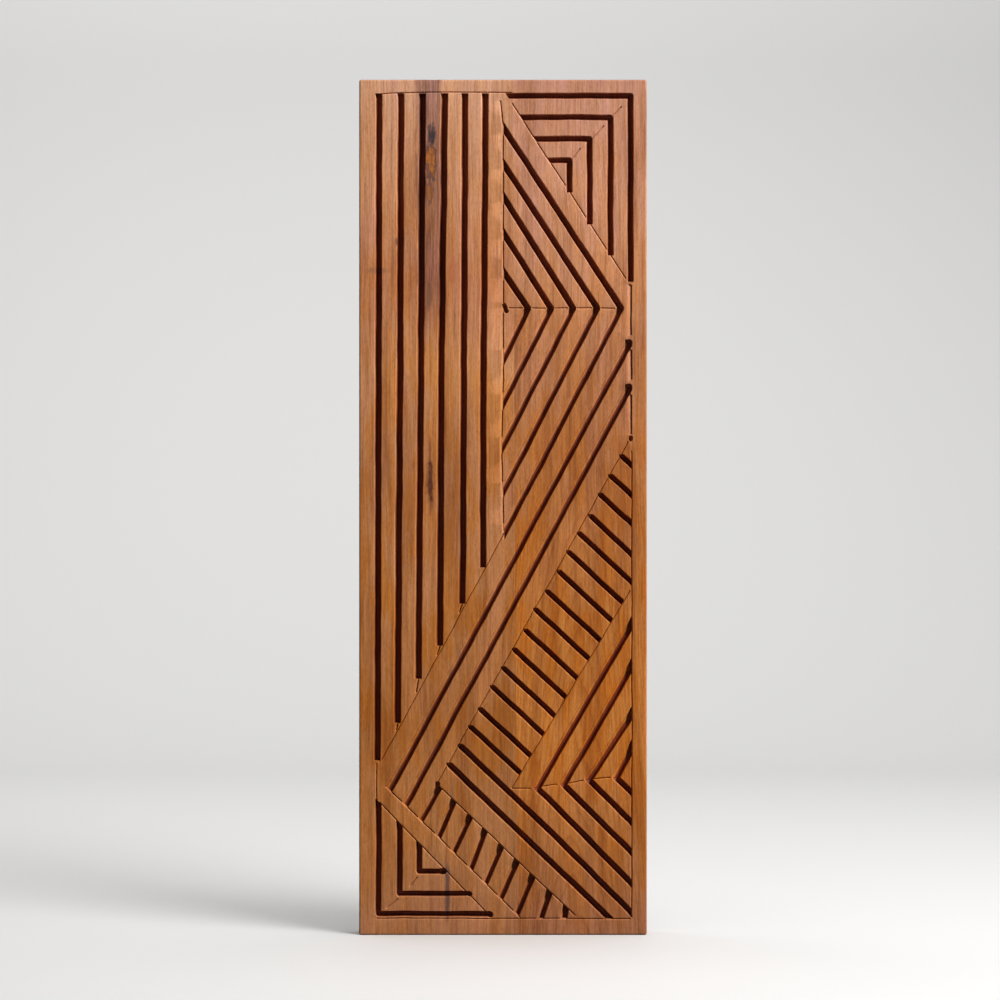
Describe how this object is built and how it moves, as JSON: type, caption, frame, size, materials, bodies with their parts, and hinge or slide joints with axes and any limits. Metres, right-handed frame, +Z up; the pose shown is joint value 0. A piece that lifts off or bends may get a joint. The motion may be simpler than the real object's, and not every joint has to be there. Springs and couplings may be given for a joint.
{
  "type": "carved wall panel",
  "caption": "Tall hardwood wall panel with carved straight channels, chevrons and ladder bands, edge-glued boards and ring hangers on its back; it stands on its foot or hangs.",
  "frame": {"origin": "On the ground plane under the middle of the panel's bounding box: the boards' foot is at Z = 0.", "axes": "+Z up along the panel's height, the carved front faces -Y, +X runs to the viewer's right as the front is seen, +Y points to the wall."},
  "size_m": [0.3, 0.0344, 0.892],
  "materials": {
    "left_board_wood": "oiled and sanded hardwood, pinkish tan with a dark heartwood streak",
    "right_board_wood": "oiled and sanded hardwood, redder tan with golden cathedral grain",
    "dowel_wood": "plain pale beech",
    "hanger_steel": "zinc-plated steel",
    "screw_steel": "zinc-plated steel",
    "bumper_rubber": "matte black rubber"
  },
  "bodies": {
    "panel": {"left_board": "left_board_wood", "right_board": "right_board_wood", "dowel_1": "dowel_wood", "dowel_2": "dowel_wood", "dowel_3": "dowel_wood", "dowel_4": "dowel_wood", "dowel_5": "dowel_wood", "left_hanger_strap": "hanger_steel", "left_hanger_screw_outer": "screw_steel", "left_hanger_screw_inner": "screw_steel", "right_hanger_strap": "hanger_steel", "right_hanger_screw_outer": "screw_steel", "right_hanger_screw_inner": "screw_steel", "bumper_top_left": "bumper_rubber", "bumper_bottom_left": "bumper_rubber", "bumper_top_right": "bumper_rubber", "bumper_bottom_right": "bumper_rubber"},
    "left_ring": {"left_hanger_ring": "hanger_steel"},
    "right_ring": {"right_hanger_ring": "hanger_steel"}
  },
  "joints": [
    {"name": "left_ring_swing", "type": "hinge", "parent": "panel", "child": "left_ring", "pos_m": [-0.085, 0.01385, 0.742], "axis": [0, 0, 1], "range_deg": [0, 175]},
    {"name": "right_ring_swing", "type": "hinge", "parent": "panel", "child": "right_ring", "pos_m": [0.085, 0.01385, 0.742], "axis": [0, 0, -1], "range_deg": [0, 175]}
  ]
}
